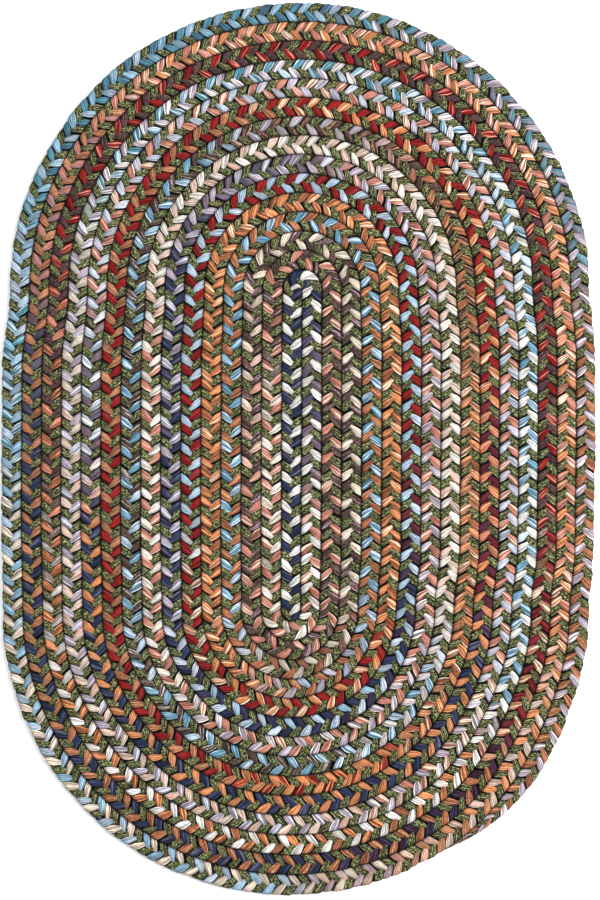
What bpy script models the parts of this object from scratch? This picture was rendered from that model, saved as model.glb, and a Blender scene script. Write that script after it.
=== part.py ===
"""Oval braided rug: one long three-strand plait laid flat, coiled outwards from a straight
core line in fifteen laps and laced edge to edge.

The laced coil is one flat body. Each lap stands proud of the grooves beside it as a rounded
rib with a shallow crease along its middle, on the upper face and, with a flat crown that
rests on the floor, on the underside. The first end of the plait is a round nose at the foot
of the core line, and the last end tapers away along the lower right of the edge.

Metres, +Z up, +Y along the length of the rug, origin under its middle on the floor.
"""

import math

import bmesh
import bpy
import numpy as np

# Driving dimensions
LAPS = 15
THICKNESS = 0.0120
HEAD_CENTRE = (0.0039, 0.1641)
FOOT_CENTRE = (-0.0079, -0.1675)
FIRST_LAP_WIDTH = 0.0200
TOP_GROOVE_DEPTH = 0.0036
UNDER_GROOVE_DEPTH = 0.0030
CREASE_DEPTH = 0.0006

# The coil is hand laid, so its laps are a little wider or narrower from place to place.
# A turn of the coil is four quarters: up the left side, round the head, down the right
# side and round the foot.
# columns: quarters turned, width of the inner laps, width of the outer laps
LAP_WIDTHS = (
    (0.00, 0.0203, 0.0205),
    (0.30, 0.0208, 0.0202),
    (0.75, 0.0208, 0.0202),
    (1.00, 0.0202, 0.0197),
    (1.25, 0.0198, 0.0197),
    (1.50, 0.0198, 0.0193),
    (1.75, 0.0197, 0.0193),
    (2.00, 0.0199, 0.0194),
    (2.20, 0.0208, 0.0193),
    (2.50, 0.0208, 0.0194),
    (2.80, 0.0208, 0.0193),
    (3.00, 0.0196, 0.0199),
    (3.12, 0.0193, 0.0199),
    (3.30, 0.0192, 0.0211),
    (3.50, 0.0196, 0.0205),
    (3.75, 0.0194, 0.0211),
    (4.00, 0.0203, 0.0205),
)

# Sections of one lap, from its inner edge to its outer edge
# columns: share of the lap's width, height
TOP_RIB = (
    (0.00, THICKNESS - TOP_GROOVE_DEPTH),
    (0.23, THICKNESS),
    (0.50, THICKNESS - CREASE_DEPTH),
    (0.77, THICKNESS),
    (1.00, THICKNESS - TOP_GROOVE_DEPTH),
)
UNDER_RIB = (
    (0.00, UNDER_GROOVE_DEPTH),
    (0.20, 0.0),
    (0.80, 0.0),
    (1.00, UNDER_GROOVE_DEPTH),
)

# Steps along the plait: each straight side and each half-round bend of a lap
SIDE_STEPS = 4
BEND_STEPS = 22
LAP_STEPS = 2 * (SIDE_STEPS + BEND_STEPS)
FOOT_BEND_START = 2 * SIDE_STEPS + BEND_STEPS
# The last end narrows over these steps of the last bend
TAIL_START_STEP = 3
TAIL_END_STEP = 7

WELD_DISTANCE = 0.00001
SMOOTH_ANGLE = math.radians(40)


def quarters_at(step):
    """Quarters turned after the given steps of one lap: a side or a bend is one quarter."""
    corners = np.cumsum([0, SIDE_STEPS, BEND_STEPS, SIDE_STEPS, BEND_STEPS])
    return np.interp(step, corners, np.arange(5.0))


def lap_width_at(quarters, column):
    """Width from the table, eased from row to row with half a cosine wave."""
    table = np.array(LAP_WIDTHS)
    row = np.clip(np.searchsorted(table[:, 0], quarters, side="right") - 1, 0, len(table) - 2)
    share = (quarters - table[row, 0]) / (table[row + 1, 0] - table[row, 0])
    eased = 0.5 - 0.5 * np.cos(math.pi * share)
    return table[row, column] + (table[row + 1, column] - table[row, column]) * eased


def reach(count, quarters):
    """Distance from the core to a count of laps. The middle lap has one width all round, and
    from there the width changes evenly from the inner value to the outer one."""
    inner = lap_width_at(quarters, 1)
    outer = lap_width_at(quarters, 2)
    beyond = np.maximum(np.abs(count) - 0.5, 0.0)
    middle = np.minimum(np.abs(count), 0.5) * FIRST_LAP_WIDTH
    return np.sign(count) * (middle + inner * beyond + (outer - inner) * beyond**2 / (2 * LAPS))


def place(lap, quarters, share):
    """Points in plan across a lap. Each quarter has a moving centre and a direction out of it:
    the sides run between the two end centres, and the bends turn about one of them. Round the
    foot the laps sit half a lap further out, which is what makes the closed ovals a coil."""
    quarter = np.minimum(np.floor(quarters), 3).astype(int)
    along = quarters - quarter
    to_head = np.choose(quarter, [along, np.ones_like(along), 1 - along, np.zeros_like(along)])
    shift = np.choose(quarter, [-0.5 * (1 - along), 0 * along, 0.5 * along, 0 * along + 0.5])
    turned = np.choose(quarter, [0 * along, along, 0 * along + 1, 1 + along]) * math.pi
    centre_x = FOOT_CENTRE[0] + (HEAD_CENTRE[0] - FOOT_CENTRE[0]) * to_head
    centre_y = FOOT_CENTRE[1] + (HEAD_CENTRE[1] - FOOT_CENTRE[1]) * to_head
    distance = reach(lap - 1 + share + shift, quarters)
    return centre_x - np.cos(turned) * distance, centre_y + np.sin(turned) * distance


def tail_fullness(step):
    """Width of the plait as a share of the full width: a quarter of a cosine at its last end."""
    last_step = (LAPS - 1) * LAP_STEPS + FOOT_BEND_START + TAIL_END_STEP
    left = (last_step - step) / (TAIL_END_STEP - TAIL_START_STEP)
    return np.sin(0.5 * math.pi * np.clip(left, 0.0, 1.0))


def rib_surface(rib):
    """Grid of points over the whole plait: a row for each step, a column for each rib point."""
    step = np.arange((LAPS - 1) * LAP_STEPS + FOOT_BEND_START + TAIL_END_STEP + 1)
    lap = (step // LAP_STEPS + 1)[:, None].astype(float)
    quarters = quarters_at(step % LAP_STEPS)[:, None]
    fullness = tail_fullness(step)[:, None]
    shares, heights = np.array(rib).T
    x, y = place(lap + 0 * shares, quarters + 0 * shares, shares * fullness)
    z = heights[0] + (heights - heights[0]) * fullness
    return np.stack([x, y, z], axis=-1)


def nose_surface(rib):
    """Half-round first end of the plait: the inner half of the rib turned about its middle."""
    shares, heights = np.array(rib).T
    inner = shares <= 0.5
    radii = (0.5 - shares[inner]) * FIRST_LAP_WIDTH
    angle = np.linspace(0.0, -math.pi, BEND_STEPS + 1)[:, None]
    x = FOOT_CENTRE[0] + np.cos(angle) * radii
    y = FOOT_CENTRE[1] + np.sin(angle) * radii
    return np.stack([x, y, heights[inner] + 0 * angle], axis=-1)


def rim_surface(top, under):
    """Upright edge of the rug, down the outer side of the plait's last full turn."""
    return np.stack([top[-LAP_STEPS - 1 :, -1], under[-LAP_STEPS - 1 :, -1]], axis=1)


def add_grid(mesh, grid):
    """Adds a grid of points to a bmesh as quads."""
    rows, columns, _ = grid.shape
    verts = [[mesh.verts.new(point) for point in row] for row in grid]
    for i in range(rows - 1):
        for j in range(columns - 1):
            mesh.faces.new((verts[i][j], verts[i][j + 1], verts[i + 1][j + 1], verts[i + 1][j]))


def yarn_material():
    """Dull soft yarn in the mean colour of the plait's heathers."""
    material = bpy.data.materials.new("braided_yarn")
    material.use_nodes = True
    shader = material.node_tree.nodes["Principled BSDF"]
    shader.inputs["Base Color"].default_value = (0.28, 0.21, 0.17, 1.0)
    shader.inputs["Roughness"].default_value = 0.95
    shader.inputs["Metallic"].default_value = 0.0
    return material


def coiled_plait():
    """The laced coil as one closed body."""
    top = rib_surface(TOP_RIB)
    under = rib_surface(UNDER_RIB)
    under_nose = nose_surface(UNDER_RIB)
    mesh = bmesh.new()
    for grid in (top, under, nose_surface(TOP_RIB), under_nose, rim_surface(top, under)):
        add_grid(mesh, grid)
    mesh.faces.new([mesh.verts.new(point) for point in under_nose[:, -1]])
    bmesh.ops.remove_doubles(mesh, verts=mesh.verts, dist=WELD_DISTANCE)
    bmesh.ops.recalc_face_normals(mesh, faces=mesh.faces)
    data = bpy.data.meshes.new("coiled_plait")
    mesh.to_mesh(data)
    mesh.free()
    data.shade_smooth()
    data.set_sharp_from_angle(angle=SMOOTH_ANGLE)
    data.materials.append(yarn_material())
    return bpy.data.objects.new("coiled_plait", data)


for old in list(bpy.data.objects):
    bpy.data.objects.remove(old, do_unlink=True)
bpy.context.scene.collection.objects.link(coiled_plait())
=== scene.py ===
"""Oval braided rug, seen straight from above: one flat plait of three yarn strands, coiled
outwards from a core line and laced edge to edge.

The script follows the making of it. An olive strand and two space-dyed strands are plaited,
the plait is laid round the coil, and a thread laces each lap to the one inside it.
"""

import math

import bpy
import numpy as np
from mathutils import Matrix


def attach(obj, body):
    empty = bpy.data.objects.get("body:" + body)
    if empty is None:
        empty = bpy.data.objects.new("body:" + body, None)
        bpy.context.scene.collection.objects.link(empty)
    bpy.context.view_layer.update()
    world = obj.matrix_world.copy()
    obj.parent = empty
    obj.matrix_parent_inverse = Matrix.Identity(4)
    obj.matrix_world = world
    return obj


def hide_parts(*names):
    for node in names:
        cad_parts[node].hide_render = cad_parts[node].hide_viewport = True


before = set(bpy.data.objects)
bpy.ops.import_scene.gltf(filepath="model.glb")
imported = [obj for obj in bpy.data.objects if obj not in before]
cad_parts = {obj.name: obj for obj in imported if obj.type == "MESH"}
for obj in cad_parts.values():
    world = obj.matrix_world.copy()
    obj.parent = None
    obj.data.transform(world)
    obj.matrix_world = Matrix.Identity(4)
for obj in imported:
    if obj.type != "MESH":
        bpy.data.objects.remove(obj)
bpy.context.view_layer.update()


# ---------------------------------------------------------------------------------------
# The olive strand. A soft rope of heathered, crimped yarn in two greens with pale flecks.
# It runs through the whole plait and shows as one leaf in three, so its section also holds
# the lay of the plait: how a strand weaves over and under, and how the plait is coiled.
# ---------------------------------------------------------------------------------------

# The coil: a turn has four quarters, up the left side, round the head, down the right side
# and round the foot. The core line joins the two end centres.
LAPS = 15
HEAD_CENTRE = (0.0039, 0.1641)
FOOT_CENTRE = (-0.0079, -0.1675)
FIRST_LAP_WIDTH = 0.0200

# The coil is hand laid, so its laps are a little wider or narrower from place to place.
# columns: quarters turned, width of the inner laps, width of the outer laps
LAP_WIDTHS = (
    (0.00, 0.0203, 0.0205),
    (0.30, 0.0208, 0.0202),
    (0.75, 0.0208, 0.0202),
    (1.00, 0.0202, 0.0197),
    (1.25, 0.0198, 0.0197),
    (1.50, 0.0198, 0.0193),
    (1.75, 0.0197, 0.0193),
    (2.00, 0.0199, 0.0194),
    (2.20, 0.0208, 0.0193),
    (2.50, 0.0208, 0.0194),
    (2.80, 0.0208, 0.0193),
    (3.00, 0.0196, 0.0199),
    (3.12, 0.0193, 0.0199),
    (3.30, 0.0192, 0.0211),
    (3.50, 0.0196, 0.0205),
    (3.75, 0.0194, 0.0211),
    (4.00, 0.0203, 0.0205),
)

# The plait lies flat, as wide as a lap. Its first end is a nose as long as this, and its last
# end narrows between these quarters of the last lap. The strands stop a little short of it.
# At the nose and the tail these shares of the plait's thickness are left.
PLAIT_WIDTH = 0.0200
PLAIT_MIDDLE = 0.0060
NOSE_LENGTH = 0.0100
TAIL_START = 3 + 3 / 22
TAIL_END = 3 + 7 / 22
TAIL_GAP = 0.0030
NOSE_THICKNESS = 0.4
TAIL_THICKNESS = 0.5
COIL_POINTS = 60001


def lap_width_at(quarters, column):
    """Width from the table, eased from row to row with half a cosine wave."""
    table = np.array(LAP_WIDTHS)
    row = np.clip(np.searchsorted(table[:, 0], quarters, side="right") - 1, 0, len(table) - 2)
    share = (quarters - table[row, 0]) / (table[row + 1, 0] - table[row, 0])
    eased = 0.5 - 0.5 * np.cos(math.pi * share)
    return table[row, column] + (table[row + 1, column] - table[row, column]) * eased


def reach(count, quarters):
    """Distance from the core to a count of laps: the middle lap has one width all round, and
    from there the width changes evenly from the inner value to the outer one."""
    inner = lap_width_at(quarters, 1)
    outer = lap_width_at(quarters, 2)
    beyond = np.maximum(np.abs(count) - 0.5, 0.0)
    middle = np.minimum(np.abs(count), 0.5) * FIRST_LAP_WIDTH
    return np.sign(count) * (middle + inner * beyond + (outer - inner) * beyond**2 / (2 * LAPS))


def place(turns, share):
    """Points in plan across a lap after a number of turns of the coil. Each quarter of a turn
    has a centre and a direction out of it: the sides run between the two end centres, and
    the bends turn about one of them. Round the foot the laps sit half a lap further out."""
    turns = np.maximum(turns, 0.0)
    lap = np.floor(turns)
    quarters = 4 * (turns - lap)
    quarter = np.minimum(np.floor(quarters), 3).astype(int)
    along = quarters - quarter
    to_head = np.choose(quarter, [along, 1 + 0 * along, 1 - along, 0 * along])
    shift = np.choose(quarter, [-0.5 * (1 - along), 0 * along, 0.5 * along, 0.5 + 0 * along])
    turned = np.choose(quarter, [0 * along, along, 1 + 0 * along, 1 + along]) * math.pi
    centre_x = FOOT_CENTRE[0] + (HEAD_CENTRE[0] - FOOT_CENTRE[0]) * to_head
    centre_y = FOOT_CENTRE[1] + (HEAD_CENTRE[1] - FOOT_CENTRE[1]) * to_head
    distance = reach(lap + share + shift, quarters)
    return centre_x - np.cos(turned) * distance, centre_y + np.sin(turned) * distance


# Length along the middle of the plait against turns of the coil
LAST_TURN = LAPS - 1 + TAIL_END / 4
laid_turns = np.linspace(0.0, LAST_TURN, COIL_POINTS)
middle_x, middle_y = place(laid_turns, 0.5 + 0 * laid_turns)
laid_length = np.concatenate([[0.0], np.cumsum(np.hypot(np.diff(middle_x), np.diff(middle_y)))])
PLAIT_LENGTH = laid_length[-1]


def lay_down(along, across, height):
    """Points of the straight plait laid round the coil. Length along the plait becomes turns of
    the coil, and distance across it a share of the lap there, so the plait is as wide as the
    lap wherever it lies. Before the first turn it runs straight back from the foot centre. At
    its first end it closes in a half round about its middle, and towards its last end it
    narrows against the lap inside it."""
    turns = np.interp(along, laid_length, laid_turns)
    before = np.clip(-along / NOSE_LENGTH, 0.0, 1.0)
    nose = np.sqrt(1.0 - before**2)
    left = (LAST_TURN - turns) / ((TAIL_END - TAIL_START) / 4)
    tail = np.sin(0.5 * math.pi * np.clip(left, 0.0, 1.0))
    share = (0.5 + across * nose / PLAIT_WIDTH) * tail
    x, y = place(turns, share)
    core_x, core_y = HEAD_CENTRE[0] - FOOT_CENTRE[0], HEAD_CENTRE[1] - FOOT_CENTRE[1]
    back = np.minimum(along, 0.0) / math.hypot(core_x, core_y)
    nose_left = NOSE_THICKNESS + (1 - NOSE_THICKNESS) * nose
    tail_left = TAIL_THICKNESS + (1 - TAIL_THICKNESS) * tail
    flattened = (height - PLAIT_MIDDLE) * nose_left * tail_left
    return np.stack([x + core_x * back, y + core_y * back, PLAIT_MIDDLE + flattened], axis=-1)


# One cycle of the plait carries a strand out to both edges and back. It is plaited by hand, so
# its count of cycles runs ahead of an even count by these amounts at each metre of its length.
# The first phase is the olive strand's, at the start of the core line.
CYCLES_A_METRE = 33.0
CYCLES_AHEAD = (
    0.2, 0.1, 0.4, 0.7, 1.3, 1.5, 1.2, 1.0, 0.9, 0.8, 0.3, 0.6, 0.2,
    -0.2, 0.0, 0.2, 0.3, 0.8, 0.8, 0.7, 0.3, 1.0, 1.0, 1.2, 1.2,
)
FIRST_PHASE = 0.08

# The path of a strand through a cycle is a figure of eight across the plait, this far out and
# this far up and down. A low steepness keeps it on top for longer before it dives. It is up
# before it crosses the middle, by the early rise, so the tips of the leaves interlock. It
# covers more length on top than below, by the lingers of the outer and the inner row, which
# makes the leaves lean. It takes a little longer over the outer edge than the inner one.
HALF_REACH = 0.0083
HALF_LIFT = 0.0028
STEEPNESS = 0.5
EARLY_RISE = 0.26
OUTER_LINGER = 0.42
INNER_LINGER = 0.58
OUTER_SHARE = 0.53
CYCLE_POINTS = 1441

walk = np.linspace(0.0, 2 * math.pi, CYCLE_POINTS)
walk_across = HALF_REACH * np.sin(walk)
lift = np.sin(2 * walk + 2 * EARLY_RISE * np.cos(walk) ** 2)
walk_height = HALF_LIFT * np.sign(lift) * np.abs(lift) ** STEEPNESS
outer_half = walk[1:] <= math.pi
paces = 1 + np.where(outer_half, OUTER_LINGER, INNER_LINGER) * np.sin(2 * (walk[1:] + EARLY_RISE))
paces *= np.where(outer_half, OUTER_SHARE, 1 - OUTER_SHARE)
walked = np.concatenate([[0.0], np.cumsum(paces / paces.sum())])


def figure_of_eight(phase):
    """Distance across and height at a phase of the cycle: out over one edge on top, back below
    to the middle, out over the other edge on top and back below again."""
    turn = phase % 1.0
    return np.interp(turn, walked, walk_across), np.interp(turn, walked, walk_height)


# Unevenness of hand work in the pace of a strand, its girth, its lift and the drift of the
# whole plait to either side: seed, spacing along the plait, most that it adds or takes
PACE_WANDER = (11, 0.013, 0.038)
GIRTH_WANDER = (21, 0.009, 0.13)
LIFT_WANDER = (31, 0.013, 0.04)
DRIFT_WANDER = (51, 0.017, 0.0004)
SPARE_VALUES = 9
VALUES_BEFORE = 3


def wander(kind, along, strand=0):
    """Random values at even spacings, eased from one to the next with half a cosine wave. Each
    strand draws its own. A few spare values lie before and after the plait."""
    seed, spacing, amount = kind
    draws = np.random.default_rng(seed + strand)
    values = draws.uniform(-amount, amount, int(PLAIT_LENGTH / spacing) + SPARE_VALUES)
    count = along / spacing + VALUES_BEFORE
    first = np.floor(count).astype(int)
    eased = 0.5 - 0.5 * np.cos(math.pi * (count - first))
    return values[first] * (1 - eased) + values[first + 1] * eased


# The strand's flattened section: half sizes on its broad face, half thickness where it wraps
# an edge, and how much narrower it gets where it dives in the middle and where it wraps. The
# powers say how close to the middle and to the edge that is. It fills out downwards in the
# middle, where nothing lies under it, and a thick place reaches further out by this share.
STRAND_HALF_WIDTH = 0.0048
STRAND_HALF_THICKNESS = 0.0032
EDGE_HALF_THICKNESS = 0.0025
MIDDLE_PINCH = 0.38
MIDDLE_POWER = 4
EDGE_PINCH = 0.16
EDGE_POWER = 5
MIDDLE_FILL = 1.1
THICK_REACH = 0.5
SECTION_POWER = 2.1
# The outer edge of the last lap is open from this distance across the plait, and there its
# height and distance across paint no shade on it
OPEN_REACH = 0.0055
STEPS_A_CYCLE = 22
POINTS_AROUND = 8


def strand_rows(strand):
    """Lengths along the plait at which a strand has a section: even steps in its own phase, and
    the phase itself. The strand's cycle is a third of a cycle behind the strand before it."""
    steps = int((PLAIT_LENGTH + NOSE_LENGTH) * CYCLES_A_METRE * STEPS_A_CYCLE)
    along = np.linspace(-NOSE_LENGTH, PLAIT_LENGTH - TAIL_GAP, steps)
    ahead = np.interp(along, np.arange(len(CYCLES_AHEAD)), CYCLES_AHEAD)
    uneven = wander(PACE_WANDER, along, strand)
    return along, along * CYCLES_A_METRE + ahead + uneven - strand / 3 + FIRST_PHASE


def strand_surface(strand):
    """Grid of points over a whole strand, a row for each section and a column for each point
    round it. The section is a flattened oval whose broad faces stay square to the figure of
    eight. It is swept in the straight plait, where its normal lies in the plane across it. In
    the middle of the plait its lower half is stretched downwards. Every point is then laid
    round the coil. The marks, which set the shade painted into the yarn in the hollows of the
    plait, are each point's distance above or below the middle plane of the plait and its
    distance across from the middle; on the open outer side of the last lap they are set so
    that height and distance across paint no shade there."""
    along, phase = strand_rows(strand)
    across, height = figure_of_eight(phase)
    edge = np.abs(across / HALF_REACH) ** EDGE_POWER
    middle = (1 - (across / HALF_REACH) ** 2) ** MIDDLE_POWER
    loose = wander(GIRTH_WANDER, along, strand)
    across = across * (1 + THICK_REACH * loose) + wander(DRIFT_WANDER, along)
    height = height * (1 + wander(LIFT_WANDER, along, strand))
    path = np.stack([along, across, height], axis=-1)
    tangent = np.gradient(path, along, axis=0)
    normal = np.stack([0 * along, -tangent[:, 2], tangent[:, 1]], axis=-1)
    tangent /= np.linalg.norm(tangent, axis=1, keepdims=True)
    normal /= np.linalg.norm(normal, axis=1, keepdims=True)
    broad = np.cross(normal, tangent)
    half_width = STRAND_HALF_WIDTH * (1 + loose) * (1 - MIDDLE_PINCH * middle - EDGE_PINCH * edge)
    half_thickness = STRAND_HALF_THICKNESS + (EDGE_HALF_THICKNESS - STRAND_HALF_THICKNESS) * edge
    around = 2 * math.pi * np.arange(POINTS_AROUND) / POINTS_AROUND
    flat = np.sign(np.cos(around)) * np.abs(np.cos(around)) ** (2 / SECTION_POWER)
    thick = np.sign(np.sin(around)) * np.abs(np.sin(around)) ** (2 / SECTION_POWER)
    points = (
        path[:, None]
        + broad[:, None] * (half_width[:, None] * flat)[..., None]
        + normal[:, None] * (half_thickness[:, None] * thick)[..., None]
    )
    under = np.minimum(points[..., 2] - height[:, None], 0.0)
    points[..., 2] += MIDDLE_FILL * middle[:, None] * under
    heights = np.clip(PLAIT_MIDDLE + points[..., 2], 0.0, 2 * PLAIT_MIDDLE)
    turns = np.interp(points[..., 0], laid_length, laid_turns)
    # Marks for the painted shade in the hollows; the open outer side of the last lap gets none
    # from them
    open_side = (turns > LAST_TURN - 1) & (points[..., 1] > OPEN_REACH)
    marks = {
        "rise": np.where(open_side, PLAIT_MIDDLE, np.abs(points[..., 2])),
        "across": np.where(open_side, OPEN_REACH, np.abs(points[..., 1])),
    }
    return lay_down(points[..., 0], points[..., 1], heights), marks


# The laid out map: how long a face is against its width, the fewest bands, the spare rows that
# the end caps take, the bare share above and below a band, and for each cap how many rows from
# the end of the last band it is centred and which way round it goes, then its half sizes in
# rows and in bands
FACE_LENGTH = 1.2
FEWEST_BANDS = 2
CAP_ROWS = 4
BAND_MARGIN = 0.04
CAP_PLACES = ((2.7, -1), (1.2, 1))
CAP_REACH = 0.5
CAP_HEIGHT = 0.4


def laid_out_map(corner_row, corner_column, rows, columns):
    """The tube's faces laid out flat in bands, one under another. Every band holds the same
    count of rows, and the two end caps take places of their own in the last band."""
    bands = max(FEWEST_BANDS, int(round(math.sqrt(rows / (columns * FACE_LENGTH)))))
    in_band = -(-(rows + CAP_ROWS) // bands)
    first_row = corner_row.min(axis=1, keepdims=True)
    band = first_row // in_band
    u = (corner_row - band * in_band) / in_band
    v = (band + BAND_MARGIN + (1 - 2 * BAND_MARGIN) * corner_column / columns) / bands
    angle = 2 * math.pi * np.arange(columns) / columns
    caps = []
    for rows_back, turn in CAP_PLACES:
        cap_u = 1 - rows_back / in_band + CAP_REACH / in_band * np.cos(angle) * turn
        cap_v = 1 - (0.5 + CAP_HEIGHT * np.sin(angle)) / bands
        caps.append(np.stack([cap_u, cap_v], axis=-1))
    quads = np.stack([u, v], axis=-1).reshape(-1, 2)
    return np.concatenate([quads] + caps)


def tube(name, grid, length, values, material):
    """A closed tube through a grid of points, a row for each section and a column for each
    point round it, with an attribute for each named grid of values. Its own map runs along and
    round it in metres and turns. The second map lays the same faces out without overlaps."""
    rows, columns = grid.shape[:2]
    row, column = np.meshgrid(np.arange(rows - 1), np.arange(columns), indexing="ij")
    after = (column + 1) % columns
    quads = np.stack(
        [row * columns + column, row * columns + after,
         (row + 1) * columns + after, (row + 1) * columns + column], axis=-1
    ).reshape(-1, 4)
    corner_row = np.stack([row, row, row + 1, row + 1], axis=-1).reshape(-1, 4)
    corner_column = np.stack([column, column + 1, column + 1, column], axis=-1).reshape(-1, 4)
    cap = np.arange(columns)
    faces = quads.tolist() + [cap[::-1].tolist(), (cap + (rows - 1) * columns).tolist()]
    mesh = bpy.data.meshes.new(name)
    mesh.from_pydata(grid.reshape(-1, 3).tolist(), [], faces)
    own = np.zeros((len(quads) * 4 + 2 * columns, 2))
    own[: len(quads) * 4, 0] = length[corner_row].ravel()
    own[: len(quads) * 4, 1] = corner_column.ravel() / columns
    mesh.uv_layers.new(name="Strand").data.foreach_set("uv", own.ravel())
    mesh.uv_layers.new(name="OFBake").data.foreach_set(
        "uv", laid_out_map(corner_row, corner_column, rows, columns).ravel())
    for attribute, value in values.items():
        if value.ndim == 3:
            opaque = np.concatenate([value, np.ones((rows, columns, 1))], axis=-1)
            layer = mesh.attributes.new(attribute, "FLOAT_COLOR", "POINT")
            layer.data.foreach_set("color", opaque.ravel())
        else:
            layer = mesh.attributes.new(attribute, "FLOAT", "POINT")
            layer.data.foreach_set("value", value.ravel())
    mesh.polygons.foreach_set("use_smooth", np.ones(len(mesh.polygons), bool))
    mesh.materials.append(material)
    mesh.update()
    piece = bpy.data.objects.new(name, mesh)
    bpy.context.scene.collection.objects.link(piece)
    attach(piece, "root")
    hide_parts("coiled_plait")
    return piece


# A strand is made in stretches, which are cut at this phase, where the strand dips back
# through the middle of the plait
STRETCHES = 5
LAPS_A_STRETCH = 3
CUT_PHASE = 0.5


def strand_stretch(name, strand, stretch, surface, marks, material):
    """The rows of a strand that lie in one stretch, as a tube. Its map starts where the strand
    itself does, so that the yarn runs on from stretch to stretch."""
    along, phase = strand_rows(strand)
    turns = np.interp(along, laid_length, laid_turns)
    ends = []
    for lap in (stretch * LAPS_A_STRETCH, (stretch + 1) * LAPS_A_STRETCH):
        reached = phase[np.searchsorted(turns, min(lap, turns[-1]))]
        ends.append(np.searchsorted(phase, np.ceil(reached - CUT_PHASE) + CUT_PHASE))
    first = 0 if stretch == 0 else ends[0]
    last = len(along) if stretch == STRETCHES - 1 else ends[1] + 1
    step = np.linalg.norm(np.diff(surface.mean(axis=1), axis=0), axis=1)
    length = np.concatenate([[0.0], np.cumsum(step)])
    chosen = {mark: value[first:last] for mark, value in marks.items()}
    return tube(name, surface[first:last], length[first:last], chosen, material)


STUDIO_LIGHT = 1.35


def dyed(red, green, blue):
    """The share of light a yarn sends back, from its colour as seen in the photograph, each
    part from 0 to 255: the usual curve of a screen undone, then divided by the studio light,
    which burns the floor out and makes a yarn look lighter than it is."""
    seen = np.array([red, green, blue]) / 255
    linear = np.where(seen <= 0.04045, seen / 12.92, ((seen + 0.055) / 1.055) ** 2.4)
    return linear / STUDIO_LIGHT


def node(tree, kind, **settings):
    """A node of a tree with its settings. A setting that names an input sets that socket."""
    made = tree.nodes.new(kind)
    for key, value in settings.items():
        if hasattr(made, key):
            setattr(made, key, value)
        else:
            made.inputs[key.replace("_", " ")].default_value = value
    return made


def maths(tree, operation, first, second=0.0):
    """A math node's result. Each operand is a number or a socket."""
    step = node(tree, "ShaderNodeMath", operation=operation)
    for socket, value in zip(step.inputs, (first, second)):
        if isinstance(value, (int, float)):
            socket.default_value = value
        else:
            tree.links.new(value, socket)
    return step.outputs[0]


def spread(tree, value, low, high, to_low, to_high, curve="LINEAR"):
    """The value's range from low to high carried over to another range, and held beyond it."""
    ranged = node(tree, "ShaderNodeMapRange", interpolation_type=curve)
    for socket, number in zip(list(ranged.inputs)[1:5], (low, high, to_low, to_high)):
        socket.default_value = number
    tree.links.new(value, ranged.inputs["Value"])
    return ranged.outputs["Result"]


def strand_noise(tree, along, around):
    """Noise stretched over the strand: features a metre along it, features once round it."""
    chart = node(tree, "ShaderNodeUVMap", uv_map="Strand")
    scaled = node(tree, "ShaderNodeVectorMath", operation="MULTIPLY")
    tree.links.new(chart.outputs["UV"], scaled.inputs[0])
    scaled.inputs[1].default_value = (along, around, 1.0)
    noise = node(tree, "ShaderNodeTexNoise", noise_dimensions="2D", Scale=1.0,
                 Detail=MASK_DETAIL)
    tree.links.new(scaled.outputs[0], noise.inputs["Vector"])
    return noise.outputs["Fac"]


# Yarn ends that lie side by side round a strand, and the features of each mask along and round
# it. The fibres bend the edges of an end by this angle, where a whole end is half a turn, and
# stand up by this share of its height.
ENDS_ROUND = 12
STREAKS_A_METRE, STREAKS_ROUND = 22, 12
FIBRES_A_METRE, FIBRES_ROUND = 150, 48
FLECKS_A_METRE, FLECKS_ROUND = 460, 22.8
MASK_DETAIL = 1.0
FIBRE_BOW = 0.4
FIBRE_HEIGHT = 0.6


def yarn_ends_group():
    """Masks of the yarn ends that lie side by side in a strand. Streak varies from end to end
    and slowly along them, Fibre is finer, Fleck is a short dash of crimped yarn. Round is the
    round of each end, which also sets the shade painted between the ends. Height is the round
    of each end with its fibre, and with its flecks by the amount of Crimp."""
    group = bpy.data.node_groups.new("yarn ends", "ShaderNodeTree")
    group.interface.new_socket("Crimp", in_out="INPUT", socket_type="NodeSocketFloat")
    for socket in ("Streak", "Fibre", "Fleck", "Round", "Height"):
        group.interface.new_socket(socket, in_out="OUTPUT", socket_type="NodeSocketFloat")
    start = group.nodes.new("NodeGroupInput")
    end = group.nodes.new("NodeGroupOutput")
    streak = strand_noise(group, STREAKS_A_METRE, STREAKS_ROUND)
    fibre = strand_noise(group, FIBRES_A_METRE, FIBRES_ROUND)
    fleck = strand_noise(group, FLECKS_A_METRE, FLECKS_ROUND)
    split = node(group, "ShaderNodeSeparateXYZ")
    chart = node(group, "ShaderNodeUVMap", uv_map="Strand")
    group.links.new(chart.outputs["UV"], split.inputs[0])
    bowed = spread(group, fibre, 0.0, 1.0, -FIBRE_BOW, FIBRE_BOW)
    straight = maths(group, "MULTIPLY", split.outputs["Y"], math.pi * ENDS_ROUND)
    rounded = maths(group, "ABSOLUTE", maths(group, "SINE", maths(group, "ADD", straight, bowed)))
    crimped = maths(group, "MULTIPLY", fleck, start.outputs["Crimp"])
    raised = maths(group, "MULTIPLY", fibre, FIBRE_HEIGHT)
    height = maths(group, "ADD", maths(group, "ADD", rounded, crimped), raised)
    for socket, value in (("Streak", streak), ("Fibre", fibre), ("Fleck", fleck),
                          ("Round", rounded), ("Height", height)):
        group.links.new(value, end.inputs[socket])
    return group


# Where the painted shade in the hollows begins and ends: heights off the middle plane, how
# squarely a strand's skin faces out of the plait from 0 to 1, and distances across. The
# shades are what light is left, and they are painted into the yarn's colour.
HOLLOW_HEIGHT, CROWN_HEIGHT = 0.0020, 0.0048
SIDE_START, SIDE_END, SIDE_SHADE = 0.35, 0.61, 0.04
MIDDLE_START, MIDDLE_END, MIDDLE_SHADE = 0.0000, 0.0012, 0.85
GROOVE_START, GROOVE_END, GROOVE_SHADE = 0.0090, 0.0102, 0.06


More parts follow.
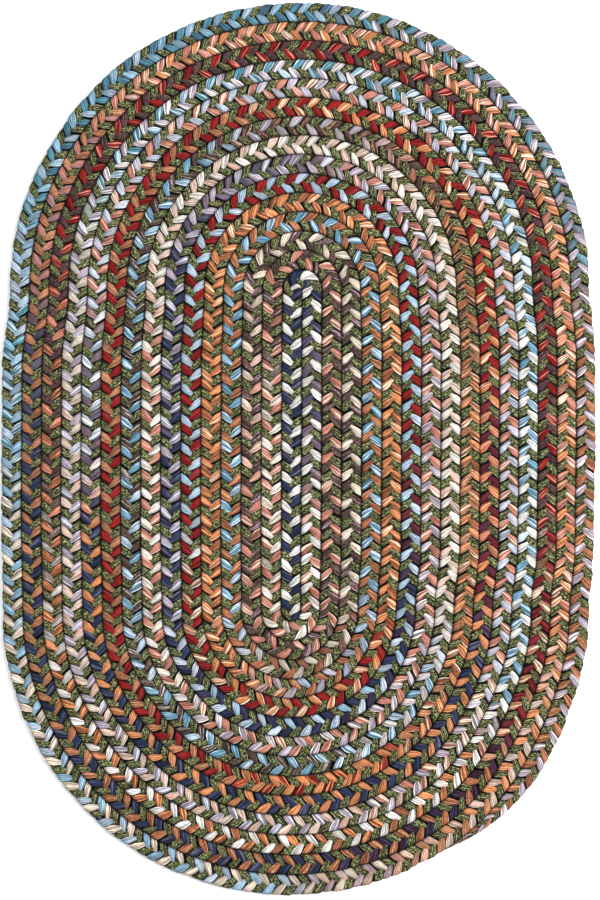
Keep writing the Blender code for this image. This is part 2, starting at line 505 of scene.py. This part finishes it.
def painted_shade_group():
    """How open to the light a point of the plait is, for the shade painted into the yarn's
    colour: Open is 1 on the crowns and falls away where a strand lies low, dives in the middle
    of the plait, turns down into the groove beside it, or meets the next leaf with its side."""
    group = bpy.data.node_groups.new("painted plait shade", "ShaderNodeTree")
    group.interface.new_socket("Open", in_out="OUTPUT", socket_type="NodeSocketFloat")
    end = group.nodes.new("NodeGroupOutput")
    rise = node(group, "ShaderNodeAttribute", attribute_name="rise").outputs["Fac"]
    across = node(group, "ShaderNodeAttribute", attribute_name="across").outputs["Fac"]
    chart = node(group, "ShaderNodeUVMap", uv_map="Strand")
    split = node(group, "ShaderNodeSeparateXYZ")
    group.links.new(chart.outputs["UV"], split.inputs[0])
    turn = maths(group, "MULTIPLY", split.outputs["Y"], 2 * math.pi)
    facing = maths(group, "ABSOLUTE", maths(group, "SINE", turn))
    # Painted shade: the yarn is darker where it lies low, faces sideways, dives in the middle or
    # turns down into the groove
    value = spread(group, rise, HOLLOW_HEIGHT, CROWN_HEIGHT, 0.0, 1.0)
    for part in (
        spread(group, facing, SIDE_START, SIDE_END, SIDE_SHADE, 1.0, "SMOOTHSTEP"),
        spread(group, across, MIDDLE_START, MIDDLE_END, MIDDLE_SHADE, 1.0, "SMOOTHSTEP"),
        spread(group, across, GROOVE_START, GROOVE_END, 1.0, GROOVE_SHADE, "SMOOTHSTEP"),
    ):
        value = maths(group, "MULTIPLY", value, part)
    group.links.new(value, end.inputs["Open"])
    return group


YARN_ENDS = yarn_ends_group()
PAINTED_SHADE_GROUP = painted_shade_group()
YARN_ROUGHNESS = 0.9
YARN_SHEEN = 0.02
SHEEN_ROUGHNESS = 0.5
YARN_SPECULAR = 0.04
BUMP_DISTANCE = 0.0005
HOLLOW_SHADE = 0.01
# How the masks scale the yarn's colour: a mask that goes from the first to the second number
# gives a scale that goes from the third to the fourth. Between the ends it is painted shade,
# where the round ends dip to meet; the fibres and streaks are the yarn's own uneven tone.
PAINTED_SHADES_BETWEEN_ENDS = (0.0, 0.6, 0.40, 1.0)
FIBRE_SHADES = (0.25, 0.75, 0.62, 1.40)
STREAK_SHADES = (0.3, 0.7, 0.50, 1.46)


def yarn_material(name, crimp, colour_of):
    """A dull yarn. colour_of(tree, masks) gives the base colour from the masks of its ends. Shade
    is painted into that colour between the ends and in the hollows of the plait, where little
    light gets in."""
    material = bpy.data.materials.new(name)
    material.use_nodes = True
    tree = material.node_tree
    shader = tree.nodes["Principled BSDF"]
    shader.inputs["Roughness"].default_value = YARN_ROUGHNESS
    shader.inputs["Sheen Weight"].default_value = YARN_SHEEN
    shader.inputs["Sheen Roughness"].default_value = SHEEN_ROUGHNESS
    shader.inputs["Specular IOR Level"].default_value = YARN_SPECULAR
    masks = node(tree, "ShaderNodeGroup", node_tree=YARN_ENDS)
    masks.inputs["Crimp"].default_value = crimp
    hollows = node(tree, "ShaderNodeGroup", node_tree=PAINTED_SHADE_GROUP)
    # Painted shade in the hollows of the plait
    depth = spread(tree, hollows.outputs["Open"], 0.0, 1.0, HOLLOW_SHADE, 1.0)
    # Painted shade between the yarn ends
    ends = spread(tree, masks.outputs["Round"], *PAINTED_SHADES_BETWEEN_ENDS)
    fibres = spread(tree, masks.outputs["Fibre"], *FIBRE_SHADES)
    streaks = spread(tree, masks.outputs["Streak"], *STREAK_SHADES)
    shade = maths(tree, "MULTIPLY", maths(tree, "MULTIPLY", depth, ends),
                  maths(tree, "MULTIPLY", fibres, streaks))
    shaded = node(tree, "ShaderNodeVectorMath", operation="SCALE")
    tree.links.new(colour_of(tree, masks), shaded.inputs[0])
    tree.links.new(shade, shaded.inputs["Scale"])
    tree.links.new(shaded.outputs[0], shader.inputs["Base Color"])
    bump = node(tree, "ShaderNodeBump", Strength=1.0, Distance=BUMP_DISTANCE)
    tree.links.new(masks.outputs["Height"], bump.inputs["Height"])
    tree.links.new(bump.outputs["Normal"], shader.inputs["Normal"])
    return material


# Colours of the olive heather, and the values of the fleck mask at which they show. The dark
# green is partly painted shade in the hollows of the crimp, and the pale flecks partly
# painted light where the crimp stands up.
OLIVE_DARK, DARK_FLECK = (34, 36, 19), 0.38
OLIVE, MIDDLE_FLECK = (76, 83, 49), 0.50
OLIVE_PALE, PALE_FLECK = (146, 146, 106), 0.66
OLIVE_CRIMP = 2.5


def heather_colour(tree, masks):
    """Olive heather: its own dark and mid greens and pale flecks, the dark also painted shade in
    the hollows of the crimp and the pale also painted light where the crimp stands up.
    """
    ramp = node(tree, "ShaderNodeValToRGB")
    dark, pale = ramp.color_ramp.elements
    dark.position = DARK_FLECK
    dark.color = (*dyed(*OLIVE_DARK), 1)
    pale.position = PALE_FLECK
    pale.color = (*dyed(*OLIVE_PALE), 1)
    middle = ramp.color_ramp.elements.new(MIDDLE_FLECK)
    middle.color = (*dyed(*OLIVE), 1)
    # The fleck mask also raises the crimp, so this ramp paints shade in its hollows and light on
    # its tops
    tree.links.new(masks.outputs["Fleck"], ramp.inputs["Fac"])
    return ramp.outputs["Color"]


OLIVE_STRAND = 0
olive_surface, olive_marks = strand_surface(OLIVE_STRAND)
olive_yarn = yarn_material("olive_heather_yarn", OLIVE_CRIMP, heather_colour)
for stretch in range(STRETCHES):
    strand_stretch(f"olive_strand_{stretch + 1}", OLIVE_STRAND, stretch,
                   olive_surface, olive_marks, olive_yarn)


# ---------------------------------------------------------------------------------------
# The first dyed strand. Smooth parallel yarn ends, space dyed in runs of half a metre to
# two metres, so it changes colour slowly along the plait with streaks of a second dye.
# ---------------------------------------------------------------------------------------

# Dyes as seen in the photograph, red, green and blue from 0 to 255
DYES = {
    "navy": (44, 50, 76),
    "slate": (84, 82, 98),
    "plum": (60, 34, 50),
    "mauve": (120, 100, 110),
    "brown": (78, 62, 55),
    "sky": (104, 146, 168),
    "teal": (84, 136, 152),
    "pale blue": (176, 187, 200),
    "lavender": (166, 153, 164),
    "white": (213, 208, 200),
    "cream": (201, 190, 172),
    "pink cream": (198, 179, 164),
    "salmon": (182, 120, 104),
    "orange": (200, 129, 84),
    "rust": (150, 94, 66),
    "tan": (160, 113, 84),
    "red": (130, 31, 31),
    "maroon": (102, 34, 40),
    "grey": (140, 136, 132),
}

# columns: turns of the coil at which the run begins, main dye, second dye, share of the second
FIRST_STRAND_RUNS = (
    (0.00, "navy", "slate", 0.15),
    (0.55, "mauve", "navy", 0.40),
    (0.66, "salmon", "cream", 0.20),
    (2.12, "pink cream", "salmon", 0.30),
    (2.25, "cream", "pink cream", 0.30),
    (2.78, "cream", "mauve", 0.30),
    (2.95, "sky", "pale blue", 0.35),
    (3.75, "lavender", "sky", 0.40),
    (3.90, "rust", "orange", 0.30),
    (4.75, "red", "maroon", 0.15),
    (5.62, "maroon", "plum", 0.30),
    (5.70, "navy", "plum", 0.20),
    (5.97, "navy", "slate", 0.20),
    (6.28, "slate", "mauve", 0.35),
    (6.40, "salmon", "cream", 0.18),
    (7.24, "pink cream", "salmon", 0.22),
    (7.76, "sky", "pale blue", 0.35),
    (8.34, "lavender", "grey", 0.35),
    (8.42, "rust", "tan", 0.25),
    (8.55, "rust", "cream", 0.22),
    (8.82, "red", "orange", 0.40),
    (8.90, "red", "maroon", 0.15),
    (9.58, "maroon", "plum", 0.35),
    (9.75, "navy", "slate", 0.15),
    (10.10, "mauve", "slate", 0.40),
    (10.24, "salmon", "cream", 0.20),
    (10.78, "salmon", "cream", 0.45),
    (10.85, "pink cream", "salmon", 0.20),
    (11.17, "cream", "grey", 0.30),
    (11.28, "teal", "pale blue", 0.40),
    (11.43, "sky", "pale blue", 0.35),
    (11.79, "rust", "orange", 0.35),
    (12.06, "rust", "salmon", 0.30),
    (12.25, "red", "salmon", 0.20),
    (12.70, "maroon", "red", 0.25),
    (12.79, "plum", "navy", 0.30),
    (12.86, "navy", "slate", 0.15),
    (13.15, "slate", "navy", 0.35),
    (13.24, "salmon", "mauve", 0.35),
    (13.32, "salmon", "cream", 0.18),
    (13.77, "pink cream", "salmon", 0.22),
    (13.84, "cream", "tan", 0.35),
    (13.87, "pink cream", "cream", 0.30),
    (14.10, "teal", "pale blue", 0.40),
    (14.27, "teal", "navy", 0.30),
    (14.39, "teal", "mauve", 0.30),
    (14.50, "rust", "tan", 0.35),
)
# One run eases into the next over this length
CHANGE_LENGTH = 0.11
# Dyes that are heathered, with how strong their flecks are. The rest have this little.
HEATHERED = {"brown": 0.80, "rust": 0.35, "tan": 0.35}
PLAIN_HEATHER = 0.16
# Every leaf draws what part of the run's share of the second dye it has, up to the most that
# any leaf has, and how deep its colours are
SHARE_DRAWS = (0.35, 1.9)
MOST_SECOND = 0.8
DEPTH_DRAWS = (0.80, 1.14)


def dye_along(strand, runs, seed):
    """Colours along a strand: the run's two dyes and the share of the second, each eased into
    the next run's over a short length. Every leaf draws its own share and depth of colour."""
    along, phase = strand_rows(strand)
    table = [(np.interp(row[0], laid_turns, laid_length), *row[1:]) for row in runs]
    main = np.zeros((len(along), 3)) + dyed(*DYES[table[0][1]])
    second = np.zeros((len(along), 3)) + dyed(*DYES[table[0][2]])
    share = np.zeros(len(along)) + table[0][3]
    heather = np.zeros(len(along)) + HEATHERED.get(table[0][1], PLAIN_HEATHER)
    for start, main_dye, second_dye, second_share in table[1:]:
        ready = np.clip((along - start) / CHANGE_LENGTH + 0.5, 0.0, 1.0)
        ready = ready * ready * (3 - 2 * ready)
        main += (dyed(*DYES[main_dye]) - main) * ready[:, None]
        second += (dyed(*DYES[second_dye]) - second) * ready[:, None]
        share += (second_share - share) * ready
        heather += (HEATHERED.get(main_dye, PLAIN_HEATHER) - heather) * ready
    leaf = np.floor(2 * phase).astype(int)
    leaf -= leaf.min()
    draws = np.random.default_rng(seed)
    amount = draws.uniform(*SHARE_DRAWS, leaf.max() + 1)[leaf]
    depth = draws.uniform(*DEPTH_DRAWS, leaf.max() + 1)[leaf]
    round_strand = np.ones((1, POINTS_AROUND))
    return {
        "main_dye": (main * depth[:, None])[:, None] * round_strand[..., None],
        "second_dye": (second * depth[:, None])[:, None] * round_strand[..., None],
        "second_share": np.clip(share * amount, 0.0, MOST_SECOND)[:, None] * round_strand,
        "heather": heather[:, None] * round_strand,
    }


# The second dye shows where the streak mask is above a limit, which falls as its share grows,
# and its edge is this soft. The flecks of a heathered dye go from dark to pale.
SECOND_LIMITS = (0.0, 1.0, 0.72, 0.25)
SECOND_EDGE = (-0.04, 0.08, 0.0, 0.85)
FLECK_SHADES = (0.34, 0.68, -0.7, 1.1)
# Sockets of Blender's node that mixes two colours
MIX_FIRST, MIX_SECOND, MIX_RESULT = 6, 7, 2


def dyed_colour(tree, masks):
    """Space-dyed ends. The second dye shows on the ends whose streak value is above the limit
    that its share sets. A heathered dye also has dark and pale flecks."""
    link = tree.links.new
    main = node(tree, "ShaderNodeAttribute", attribute_name="main_dye")
    second = node(tree, "ShaderNodeAttribute", attribute_name="second_dye")
    share = node(tree, "ShaderNodeAttribute", attribute_name="second_share")
    heather = node(tree, "ShaderNodeAttribute", attribute_name="heather")
    limit = spread(tree, share.outputs["Fac"], *SECOND_LIMITS)
    above = maths(tree, "SUBTRACT", masks.outputs["Streak"], limit)
    colour = node(tree, "ShaderNodeMix", data_type="RGBA")
    link(spread(tree, above, *SECOND_EDGE), colour.inputs["Factor"])
    link(main.outputs["Color"], colour.inputs[MIX_FIRST])
    link(second.outputs["Color"], colour.inputs[MIX_SECOND])
    fleck = spread(tree, masks.outputs["Fleck"], *FLECK_SHADES)
    flecked = maths(tree, "ADD", maths(tree, "MULTIPLY", fleck, heather.outputs["Fac"]), 1.0)
    shaded = node(tree, "ShaderNodeVectorMath", operation="SCALE")
    link(colour.outputs[MIX_RESULT], shaded.inputs[0])
    link(flecked, shaded.inputs["Scale"])
    return shaded.outputs[0]


FIRST_DYED_STRAND = 1
FIRST_DYE_SEED = 41
DYED_CRIMP = 0.5
dyed_yarn = yarn_material("space_dyed_yarn", DYED_CRIMP, dyed_colour)
first_surface, first_marks = strand_surface(FIRST_DYED_STRAND)
first_dyes = dye_along(FIRST_DYED_STRAND, FIRST_STRAND_RUNS, FIRST_DYE_SEED)
for stretch in range(STRETCHES):
    strand_stretch(f"first_dyed_strand_{stretch + 1}", FIRST_DYED_STRAND, stretch,
                   first_surface, {**first_marks, **first_dyes}, dyed_yarn)


# ---------------------------------------------------------------------------------------
# The second dyed strand. The same yarn from another part of the dye run, so that the two
# seldom show the same colour side by side.
# ---------------------------------------------------------------------------------------

SECOND_STRAND_RUNS = (
    (0.00, "white", "pale blue", 0.12),
    (0.85, "cream", "white", 0.40),
    (1.17, "brown", "mauve", 0.20),
    (2.78, "rust", "brown", 0.30),
    (2.95, "rust", "tan", 0.30),
    (3.90, "orange", "cream", 0.22),
    (4.95, "tan", "cream", 0.40),
    (5.05, "pale blue", "sky", 0.30),
    (5.97, "lavender", "pale blue", 0.25),
    (6.60, "lavender", "white", 0.30),
    (6.94, "white", "cream", 0.30),
    (7.76, "white", "mauve", 0.30),
    (7.83, "brown", "grey", 0.20),
    (8.34, "brown", "tan", 0.25),
    (8.55, "tan", "orange", 0.35),
    (8.82, "orange", "tan", 0.40),
    (8.90, "tan", "rust", 0.40),
    (9.36, "orange", "cream", 0.22),
    (9.58, "orange", "salmon", 0.40),
    (9.75, "orange", "tan", 0.30),
    (10.10, "pale blue", "white", 0.35),
    (10.24, "pale blue", "lavender", 0.35),
    (10.78, "lavender", "white", 0.35),
    (10.85, "lavender", "pale blue", 0.22),
    (11.28, "lavender", "white", 0.40),
    (11.43, "white", "pale blue", 0.15),
    (11.98, "white", "brown", 0.40),
    (12.06, "brown", "plum", 0.30),
    (12.70, "tan", "cream", 0.35),
    (12.79, "rust", "tan", 0.30),
    (12.95, "tan", "rust", 0.40),
    (13.32, "orange", "cream", 0.22),
    (13.77, "orange", "tan", 0.40),
    (13.84, "lavender", "tan", 0.35),
    (13.87, "pale blue", "sky", 0.60),
    (14.39, "lavender", "white", 0.20),
)

SECOND_DYED_STRAND = 2
SECOND_DYE_SEED = 42
second_surface, second_marks = strand_surface(SECOND_DYED_STRAND)
second_dyes = dye_along(SECOND_DYED_STRAND, SECOND_STRAND_RUNS, SECOND_DYE_SEED)
for stretch in range(STRETCHES):
    strand_stretch(f"second_dyed_strand_{stretch + 1}", SECOND_DYED_STRAND, stretch,
                   second_surface, {**second_marks, **second_dyes}, dyed_yarn)


# ---------------------------------------------------------------------------------------
# The lacing thread. One dark two-ply thread follows the groove between each lap and the lap
# inside it, half way down, and winds through the edges of both.
# ---------------------------------------------------------------------------------------

# It starts half a turn out, where the first groove does, and ends a little short of the tail.
# On its way it goes this far to all sides of the middle of the groove.
THREAD_START_TURN = 0.5
THREAD_END_GAP = 0.0040
THREAD_WANDER = 0.0009
THREAD_THICKNESS = 0.0016
STITCHES_A_CYCLE = 3
STEPS_A_STITCH = 4
THREAD_POINTS_AROUND = 4
TWISTS_A_METRE = 260
# The thread's colour between its plies, which is painted shade, and on the plies where they stand
# up, which is painted light
THREAD_IN_PAINTED_SHADE = (22, 17, 14)
THREAD_IN_PAINTED_LIGHT = (58, 46, 38)
THREAD_SPECULAR = 0.15


def thread_material():
    """Dull dark thread, with shade painted between its two plies and light painted where they
    stand up in slanting turns.
    """
    material = bpy.data.materials.new("lacing_thread")
    material.use_nodes = True
    tree = material.node_tree
    shader = tree.nodes["Principled BSDF"]
    shader.inputs["Roughness"].default_value = YARN_ROUGHNESS
    shader.inputs["Specular IOR Level"].default_value = THREAD_SPECULAR
    chart = node(tree, "ShaderNodeUVMap", uv_map="Strand")
    split = node(tree, "ShaderNodeSeparateXYZ")
    tree.links.new(chart.outputs["UV"], split.inputs[0])
    twists = maths(tree, "MULTIPLY", split.outputs["X"], TWISTS_A_METRE)
    turned = maths(tree, "MULTIPLY", maths(tree, "ADD", twists, split.outputs["Y"]), 2 * math.pi)
    ply = maths(tree, "ABSOLUTE", maths(tree, "SINE", turned))
    # Painted shade between the plies and painted light on them
    colour = node(tree, "ShaderNodeMix", data_type="RGBA")
    colour.inputs[MIX_FIRST].default_value = (*dyed(*THREAD_IN_PAINTED_SHADE), 1)
    colour.inputs[MIX_SECOND].default_value = (*dyed(*THREAD_IN_PAINTED_LIGHT), 1)
    tree.links.new(ply, colour.inputs["Factor"])
    tree.links.new(colour.outputs[MIX_RESULT], shader.inputs["Base Color"])
    bump = node(tree, "ShaderNodeBump", Strength=1.0, Distance=BUMP_DISTANCE)
    tree.links.new(ply, bump.inputs["Height"])
    tree.links.new(bump.outputs["Normal"], shader.inputs["Normal"])
    return material


def lacing_thread():
    """The thread as one long tube of four-sided sections in the groove at the inner edge of the
    plait. Its middle goes round a small circle once a stitch, across and up and down, and its
    stitches keep step with the leaves of the plait."""
    start = np.interp(THREAD_START_TURN, laid_turns, laid_length)
    steps = int((PLAIT_LENGTH - start) * CYCLES_A_METRE * STITCHES_A_CYCLE * STEPS_A_STITCH)
    along = np.linspace(start, PLAIT_LENGTH - THREAD_END_GAP, steps)[:, None]
    stitch = 2 * math.pi * STITCHES_A_CYCLE * CYCLES_A_METRE * along
    around = 2 * math.pi * np.arange(THREAD_POINTS_AROUND) / THREAD_POINTS_AROUND
    across = THREAD_WANDER * np.sin(stitch) + THREAD_THICKNESS / 2 * np.cos(around)
    height = THREAD_WANDER * np.cos(stitch) + THREAD_THICKNESS / 2 * np.sin(around)
    grid = lay_down(along + 0 * around, across - PLAIT_WIDTH / 2, height + PLAIT_MIDDLE)
    return tube("lacing_thread", grid, along[:, 0], {}, thread_material())


lacing_thread()


# ---------------------------------------------------------------------------------------
# The place where the rug is shown: a plain pale floor, soft light from above and a camera
# that looks straight down, as in the photograph.
# ---------------------------------------------------------------------------------------

PHOTO_HEIGHT = 900
MILLIMETRES_A_PIXEL = 1.028
VIEW_CENTRE = (0.00175, -0.00154)
CAMERA_HEIGHT = 3.0
SENSOR_HEIGHT = 36.0

view_height = PHOTO_HEIGHT * MILLIMETRES_A_PIXEL / 1000
lens = bpy.data.cameras.new("camera")
lens.sensor_fit = "VERTICAL"
lens.sensor_height = SENSOR_HEIGHT
lens.lens = SENSOR_HEIGHT * CAMERA_HEIGHT / view_height
camera = bpy.data.objects.new("camera", lens)
camera.location = (*VIEW_CENTRE, CAMERA_HEIGHT + PLAIT_MIDDLE)
bpy.context.scene.collection.objects.link(camera)
bpy.context.scene.camera = camera

FLOOR_SIZE = 8.0
FLOOR_DROP = 0.0004
FLOOR_GREY = 0.95
FLOOR_ROUGHNESS = 0.9
FLOOR_SPECULAR = 0.1

half = FLOOR_SIZE / 2
floor_mesh = bpy.data.meshes.new("floor")
floor_mesh.from_pydata([(-half, -half, 0), (half, -half, 0), (half, half, 0), (-half, half, 0)],
                       [], [(0, 1, 2, 3)])
floor_material = bpy.data.materials.new("pale_floor")
floor_material.use_nodes = True
floor_shader = floor_material.node_tree.nodes["Principled BSDF"]
floor_shader.inputs["Base Color"].default_value = (FLOOR_GREY, FLOOR_GREY, FLOOR_GREY, 1)
floor_shader.inputs["Roughness"].default_value = FLOOR_ROUGHNESS
floor_shader.inputs["Specular IOR Level"].default_value = FLOOR_SPECULAR
floor_mesh.materials.append(floor_material)
floor = bpy.data.objects.new("floor", floor_mesh)
floor.location.z = -FLOOR_DROP
bpy.context.scene.collection.objects.link(floor)


def soft_light(name, position, size, watts):
    """A square area light that looks at the middle of the rug: it is tipped by the angle between
    its place and straight up, and turned towards its place's bearing."""
    data = bpy.data.lights.new(name, "AREA")
    data.shape = "SQUARE"
    data.size = size
    data.energy = watts
    light = bpy.data.objects.new(name, data)
    light.location = position
    x, y, z = position
    tip = math.acos(z / math.hypot(x, y, z))
    light.rotation_euler = (tip, 0, math.atan2(y, x) + math.pi / 2)
    bpy.context.scene.collection.objects.link(light)


soft_light("key_light", position=(1.4, 0.35, 2.3), size=1.6, watts=157)
soft_light("fill_light", position=(-0.8, 0.5, 2.6), size=1.6, watts=40)

ROOM_LIGHT = 0.46
world = bpy.data.worlds.new("studio")
world.use_nodes = True
background = world.node_tree.nodes["Background"]
background.inputs["Color"].default_value = (1.0, 1.0, 1.0, 1)
background.inputs["Strength"].default_value = ROOM_LIGHT
bpy.context.scene.world = world
bpy.context.scene.view_settings.view_transform = "Standard"
